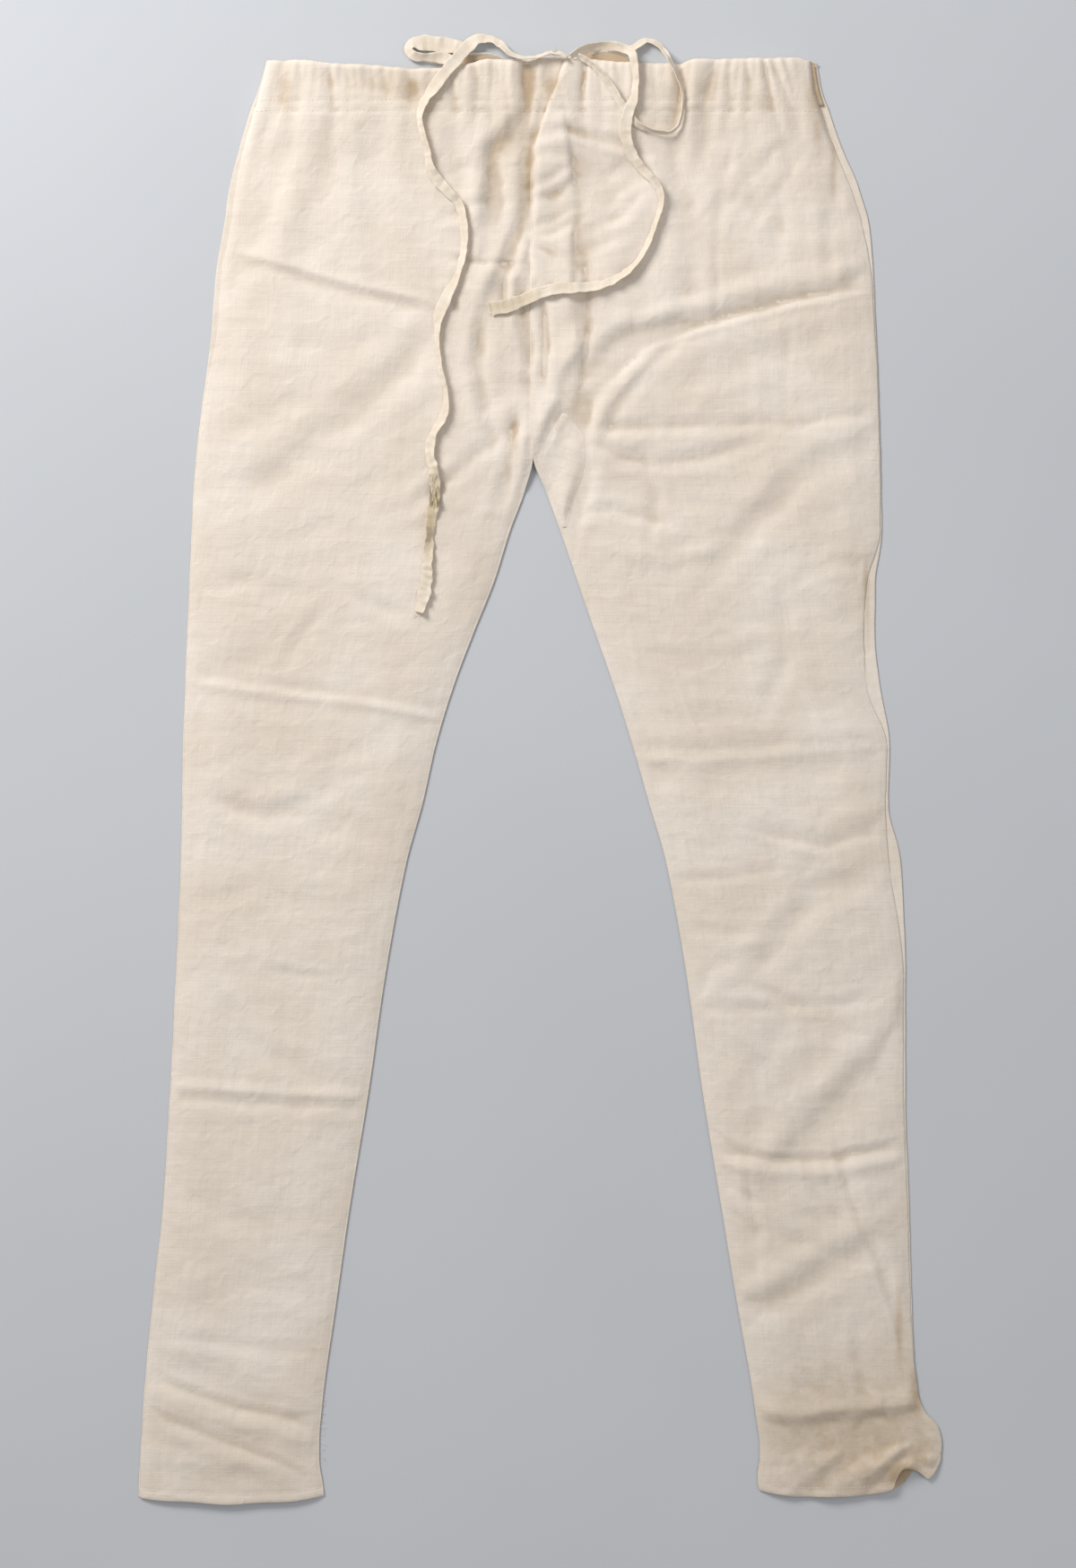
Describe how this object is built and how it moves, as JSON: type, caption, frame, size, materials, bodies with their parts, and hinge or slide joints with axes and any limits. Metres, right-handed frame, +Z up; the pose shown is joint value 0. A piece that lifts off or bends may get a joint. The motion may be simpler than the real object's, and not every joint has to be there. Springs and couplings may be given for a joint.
{
  "type": "drawstring pants",
  "caption": "Straight-legged cotton drawstring pants laid flat on their back, with a gathered waist casing and loose tape ties.",
  "frame": {"origin": "on the surface the pants lie on, under the middle of the cloth's outline", "axes": "+Z up off the surface, +Y towards the waist, +X to the right as seen from above"},
  "size_m": [0.5596, 1.0248, 0.0125],
  "materials": {
    "cotton_cloth": "unbleached plain-woven cotton, matt, softly creased",
    "cotton_inside": "inside of the same cotton, a little darker and tanned in the folds",
    "cotton_tape": "flat cotton tape, yellower than the cloth, with olive stains near one end"
  },
  "bodies": {
    "root": {"back_left_leg": "cotton_cloth", "back_right_leg": "cotton_cloth", "front_left_leg": "cotton_cloth", "front_right_leg": "cotton_cloth", "casing_front_left": "cotton_cloth", "casing_front_right": "cotton_cloth", "casing_back": "cotton_cloth", "casing_turn_front_left": "cotton_inside", "casing_turn_front_right": "cotton_inside", "casing_turn_back": "cotton_inside", "crotch_gusset": "cotton_cloth", "drawstring_left_tail": "cotton_tape", "drawstring_left_loop": "cotton_tape", "drawstring_right_tail": "cotton_tape", "drawstring_right_loop": "cotton_tape"}
  },
  "joints": []
}
